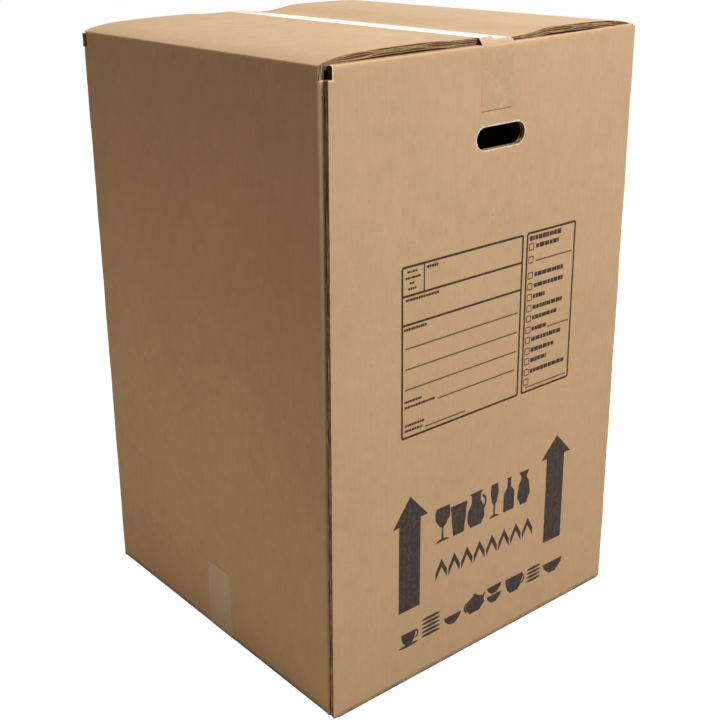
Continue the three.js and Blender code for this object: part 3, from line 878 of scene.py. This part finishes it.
def silhouette(shell, x, base, scale, profile):
    # a turned vessel seen from the side: its eased profile mirrored about the middle
    z, width = eased(profile)
    evenPatch(shell, x, width * scale, base + z * scale)


def loop(shell, x, base, across, up, radiusX, radiusZ, start, end, thick):
    # a handle: part of an ellipse round (across, up) from the vessel's foot, as a band of even width
    a = np.radians(np.linspace(start, end, 22))
    ring = spread(np.cos(a), np.sin(a))
    centre = [x + across, base + up]
    outside = ring * [radiusX, radiusZ] + centre
    inside = ring * [radiusX - thick, radiusZ - thick] + centre
    if end > start:
        outside, inside = inside, outside
    inkPatch(shell, outside, inside)


def inkPiece(name, materials, draw):
    shell = Shell()
    draw(shell)
    finishPiece(shell.build(name, materials), None)


# Sizes of the print are in millimetres on the front panel: across from its middle, and up
arrows = {
    "left": dict(apex=(-119.9, 247.4), barbs=((-146.4, 213.0), (-92.2, 216.9)),
                 shaft=(-136.8, -103.6), foot=100.5),
    "right": dict(apex=(129.2, 246.0), barbs=((101.6, 218.7), (155.7, 217.4)),
                  shaft=(112.0, 144.4), foot=99.4),
}


def drawArrows(shell):
    # a triangle ruled from its two slopes, and the shaft below it
    for arrow in arrows.values():
        (leftX, leftZ), (rightX, rightZ) = arrow["barbs"]
        t = np.linspace(0, 1, 8)[:, None]
        tip, point = np.array(arrow["apex"]), np.array([0.1, 0])
        leftSlope = (1 - t) * [leftX, leftZ] + t * (tip - point)
        rightSlope = (1 - t) * [rightX, rightZ] + t * (tip + point)
        inkPatch(shell, leftSlope, rightSlope)
        x0, x1 = arrow["shaft"]
        steps = np.linspace(arrow["foot"], (leftZ + rightZ) / 2 + 1.5, 12)
        inkPatch(shell, spread(x0, steps), spread(x1, steps))


form = dict(left=-133.5, right=52.0, low=322.0, high=518.0, outline=2.7, corner=2.4, thick=2.6, thin=1.8,
            thickLines=(486.0, 453.5), cellRight=-101.7,
            thinLines=((-129, 48, 426.4), (-129, 48, 402.5), (-129, 48, 378.7),
                       (-79.5, 46, 356.0), (-99, -35.5, 327.6)))
# small words of the form, as bars: from, to, level, height
formWords = ((-126.4, -111.9, 512.2, 2.6), (-129.0, -106.5, 505.6, 2.6), (-123.0, -115.1, 499.4, 2.6),
             (-125.0, -112.8, 493.4, 2.6), (-98.3, -81.1, 512.6, 3.4), (-128.4, -79.2, 481.0, 3.2),
             (-130.5, -97.3, 448.2, 3.2), (-129.8, -104.2, 364.6, 3.0), (-129.7, -83.5, 358.0, 3.0),
             (-129.6, -99.0, 336.2, 3.0), (-129.5, -102.5, 329.9, 3.0))
roomList = dict(left=59.5, right=142.0, low=322.0, high=518.7, word=5.4, header=(63.4, 118.7, 512.0),
                box=7.4, boxLine=1.2, boxAcross=66.8, boxCorner=0.8)
# one row for each box of the list: level, and where its word bar or its writing line runs
roomRows = ((501.8, "word", 74.5, 114.0), (486.4, "line", 75.8, 137.6), (467.2, "word", 74.1, 124.9),
            (453.8, "word", 73.6, 124.5), (440.6, "word", 72.6, 93.5), (427.0, "word", 73.0, 125.0),
            (414.2, "word", 73.0, 117.4), (400.2, "word", 73.0, 98.0), (387.2, "word", 73.2, 125.1),
            (373.6, "word", 73.0, 113.3), (360.6, "word", 73.0, 101.4), (346.8, "word", 73.2, 134.0),
            (334.6, "none", 0, 0))
roomLines = ((101.0, 138.6, 396.9), (66.0, 138.1, 327.4))
barSplit = dict(length=6.5, space=0.9)  # a word bar is a run of short bars, as a word has letters


def wordBar(shell, x0, x1, z, height, split=None):
    # short bars of random length with small spaces, from x0 to x1
    split = split or barSplit
    x = x0
    while x < x1 - 1.2:
        step = min(split["length"] * dice.uniform(0.55, 1.25), x1 - x)
        bar(shell, x, x + step, z, height * dice.uniform(0.86, 1.0))
        x += step + split["space"] * dice.uniform(0.6, 1.1)


def drawForm(shell):
    f = form
    frameBox(shell, f["left"], f["right"], f["low"], f["high"], f["outline"], f["corner"])
    inside = (f["left"] + f["outline"] / 2, f["right"] - f["outline"] / 2)
    for z in f["thickLines"]:
        bar(shell, *inside, z, f["thick"])
    for x0, x1, z in f["thinLines"]:
        bar(shell, x0, x1, z, f["thin"], 1)
    foot, top = f["thickLines"][0] + f["thick"] / 2, f["high"] - f["outline"] / 2
    post(shell, f["cellRight"], foot, top, f["thin"])
    for x0, x1, z, height in formWords:
        wordBar(shell, x0, x1, z, height, dict(length=3.4, space=0.6))


def drawRoomList(shell):
    r = roomList
    frameBox(shell, r["left"], r["right"], r["low"], r["high"], form["outline"], form["corner"])
    wordBar(shell, *r["header"], r["word"] + 0.6)
    for level, kind, x0, x1 in roomRows:
        x, side = r["boxAcross"], r["box"] / 2
        frameBox(shell, x - side, x + side, level - side, level + side, r["boxLine"], r["boxCorner"])
        if kind == "word":
            wordBar(shell, x0, x1, level, r["word"])
        if kind == "line":
            bar(shell, x0, x1, level - 2.6, form["thin"], 1)
    for x0, x1, z in roomLines:
        bar(shell, x0, x1, z, form["thin"], 1)


# Vessels as (half width, height) along their profiles, with a height of 1
goblet = [(0.24, 0), (0.20, 0.04), (0.035, 0.10), (0.03, 0.40), (0.14, 0.50), (0.25, 0.68), (0.26, 0.86),
          (0.22, 1)]
tumbler = [(0.18, 0), (0.20, 0.06), (0.25, 0.5), (0.28, 0.84), (0.28, 0.88)]
jug = [(0.20, 0), (0.31, 0.22), (0.30, 0.45), (0.16, 0.76), (0.17, 0.92), (0.24, 1)]
bottle = [(0.18, 0), (0.20, 0.05), (0.20, 0.52), (0.07, 0.74), (0.06, 0.92), (0.09, 1)]
vase = [(0.13, 0), (0.24, 0.30), (0.20, 0.60), (0.10, 0.82), (0.18, 1)]
flute = [(0.20, 0), (0.16, 0.04), (0.03, 0.08), (0.03, 0.36), (0.10, 0.48), (0.145, 0.75), (0.12, 1)]
tallRow = dict(base=171.0, height=45.0, fullness=1.05,
               vessels=((-68, goblet), (-41.5, tumbler), (-12.5, jug), (19, flute), (44.5, bottle),
                        (71, vase)), handle=(8.6, 28.0, 9.0, 11.0, -62, 78, 3.0))
chevronRow = dict(left=-69.0, step=21.4, count=8, base=120.5, width=19.0, rise=17.0, thick=10.5)
bowl = [(0.30, 0), (0.26, 0.06), (0.46, 0.16), (0.70, 0.42), (0.78, 0.66)]
cup = [(0.28, 0), (0.30, 0.04), (0.50, 0.26), (0.60, 0.62), (0.62, 0.86)]
pot = [(0.34, 0), (0.36, 0.03), (0.62, 0.34), (0.52, 0.66), (0.22, 0.82), (0.10, 0.84), (0.10, 0.96)]
plate = dict(foot=3.4, step=5.6, halfThick=2.0)
# the low row: vessels as place in the row, across, up, scale and profile; handles as place and loop's
# numbers; plates as place, up, half width and count
lowRow = dict(
    left=-121.0, step=36.2, base=50.5, height=30.0,
    vessels=((0, 0, 3.4, 0.62, cup), (2, 0, 0, 0.62, bowl), (3, 2, 0, 0.9, pot), (4, 0, 0, 0.56, bowl),
             (4, 0, 12.5, 0.56, bowl), (5, 0, 0, 0.86, cup), (7, 0, 0, 0.80, bowl)),
    handles=((0, 9.2, 13.5, 7.0, 6.4, -75, 75, 2.4), (3, -11.0, 11.5, 6.0, 7.4, 110, 250, 2.4),
             (5, 12.4, 13.0, 7.0, 7.2, -75, 75, 2.4)),
    plates=((0, -1.6, 15.0, 1), (1, 0, 15.0, 5), (6, 0, 12.9, 4)),
    spout=(3, ((11, 10), (18.0, 21)), ((14, 5), (20.5, 21.6))))


def drawTallVessels(shell):
    row = tallRow
    for x, vessel in row["vessels"]:
        silhouette(shell, x, row["base"], row["height"], [(w * row["fullness"], h) for w, h in vessel])
        if vessel is jug:
            loop(shell, x, row["base"], *row["handle"])


def drawChevrons(shell):
    # each chevron is two ruled bands that meet in a point
    row = chevronRow
    for i in range(row["count"]):
        x = row["left"] + i * row["step"]
        for side in (-1, 1):
            outer = np.array([[x + side * row["width"] / 2, row["base"]], [x, row["base"] + row["rise"]]])
            upper = outer + [0, row["thick"]]
            pair = (outer, upper) if side > 0 else (upper, outer)
            inkPatch(shell, *pair)


def plateStack(shell, x, base, width, count):
    # plates from the side: each a flat lens on a short foot
    for i in range(count):
        a = np.linspace(-1, 1, 14)
        z = base + plate["foot"] + i * plate["step"] + plate["halfThick"] * a
        evenPatch(shell, x, width * np.sqrt(np.clip(1.02 - a ** 2, 0.02, 1)), z)


def drawLowDishes(shell):
    row, base = lowRow, lowRow["base"]
    places = [row["left"] + i * row["step"] for i in range(8)]
    for i, across, up, scale, profile in row["vessels"]:
        silhouette(shell, places[i] + across, base + up, row["height"] * scale, profile)
    for i, *numbers in row["handles"]:
        loop(shell, places[i], base, *numbers)
    for i, up, width, count in row["plates"]:
        plateStack(shell, places[i], base + up, width, count)
    i, *sides = row["spout"]
    inkPatch(shell, *(np.array(side) + [places[i], base] for side in sides))


print("stage: print")
dice = np.random.default_rng(4)
inkPiece("ink_arrows", [boldInk], drawArrows)
inkPiece("ink_contents_form", [formInk, lineInk], drawForm)
inkPiece("ink_room_list", [formInk, lineInk], drawRoomList)
inkPiece("ink_tableware_row", [boldInk], drawTallVessels)
inkPiece("ink_chevrons", [boldInk], drawChevrons)
inkPiece("ink_dish_row", [boldInk], drawLowDishes)


# Floor, light and camera

stageLook = dict(floorSize=30, floorColour=(0.70, 0.60, 0.50, 1), seenColour=(0.36, 0.36, 0.36, 1),
                 seenGlow=0.97, roomStrength=0.052, roomColour=(1.0, 0.83, 0.66, 1))


def makeFloor():
    # light and reflections meet a kraft-coloured floor, and the camera sees a white one
    bpy.ops.mesh.primitive_plane_add(size=stageLook["floorSize"])
    floor = bpy.context.object
    floor.name = "floor"
    material, tree = newMaterial("paleFloor")
    seen = addNode(tree, "LightPath").outputs["Is Camera Ray"]
    lit = feed(tree, "BsdfDiffuse", {}, Color=stageLook["floorColour"])
    seenLit = feed(tree, "BsdfDiffuse", {}, Color=stageLook["seenColour"])
    glow = feed(tree, "Emission", {}, Strength=stageLook["seenGlow"])
    white = feed(tree, "AddShader", {0: seenLit, 1: glow})
    showShader(tree, feed(tree, "MixShader", {0: seen, 1: lit, 2: white}))
    floor.data.materials.append(material)


def makeRoom():
    # the camera and reflections see a white room, and everything else a dim warm one
    look = stageLook
    world = bpy.data.worlds.new("softRoom")
    scene.world = world
    world.use_nodes = True
    tree = world.node_tree
    tree.nodes.clear()
    output = addNode(tree, "OutputWorld")
    path = addNode(tree, "LightPath").outputs
    room = feed(tree, "Background", {}, Color=look["roomColour"], Strength=look["roomStrength"])
    white = feed(tree, "Background", {}, Color=(1, 1, 1, 1), Strength=1.0)
    rays = [path["Is " + kind + " Ray"] for kind in ("Camera", "Glossy", "Transmission")]
    seen = calculate(tree, "MAXIMUM", *rays)
    tree.links.new(feed(tree, "MixShader", {0: seen, 1: room, 2: white}), output.inputs[0])


# place and aim in metres, size, power in watts and colour
lamps = {
    "keyLamp": ((0.55, -1.9, 2.25), (0, 0, 0.50), 1.3, 56.3, (1, 0.995, 0.99)),
    "topLamp": ((0.15, 0.7, 2.6), (0, 0, 0.7), 1.6, 22.4, (1, 0.975, 0.90)),
    "backLamp": ((2.4, 1.8, 1.35), (0, 0, 0.75), 2.0, 11.5, (1, 1, 1)),
    "lowFill": ((-0.95, 0.1, 0.07), (-0.2, 0, 0.07), 0.6, 1.4, (1, 0.88, 0.74)),
}


def makeLamp(name, place, aim, size, power, colour):
    data = bpy.data.lights.new(name, "AREA")
    data.shape, data.size, data.energy, data.color = "SQUARE", size, power, colour
    lamp = addToScene(name, data)
    lamp.location = place
    lamp.rotation_euler = (Vector(aim) - Vector(place)).to_track_quat("-Z", "Y").to_euler()
    lamp.visible_camera = False


# The camera stands where the photograph was taken from, worked out from the carton's corners
view = dict(place=(-937.3 * mm, -1103.4 * mm, 889.3 * mm), azimuth=-0.655, elevation=0.330, roll=-0.025,
            focalPixels=1186.2, centre=(298.6, 300.6), imageSize=720, sensor=36)


def makeCamera():
    a, e, size = view["azimuth"], view["elevation"], view["imageSize"]
    backward = Vector((math.sin(a) * math.cos(e), -math.cos(a) * math.cos(e), math.sin(e)))
    level = (-backward).cross(Vector((0, 0, 1))).normalized()
    upright = level.cross(-backward)
    c, s = math.cos(view["roll"]), math.sin(view["roll"])
    turned = Matrix((c * level + s * upright, -s * level + c * upright, backward)).transposed().to_4x4()
    data = bpy.data.cameras.new("camera")
    data.sensor_width = view["sensor"]
    data.lens = view["focalPixels"] * view["sensor"] / size
    data.shift_x = (size / 2 - view["centre"][0]) / size
    data.shift_y = (view["centre"][1] - size / 2) / size
    camera = addToScene("camera", data)
    camera.matrix_world = Matrix.Translation(view["place"]) @ turned
    scene.camera = camera


print("stage: floor, light and camera")
makeFloor()
makeRoom()
for name, look in lamps.items():
    makeLamp(name, *look)
makeCamera()
scene.view_settings.view_transform = "Standard"
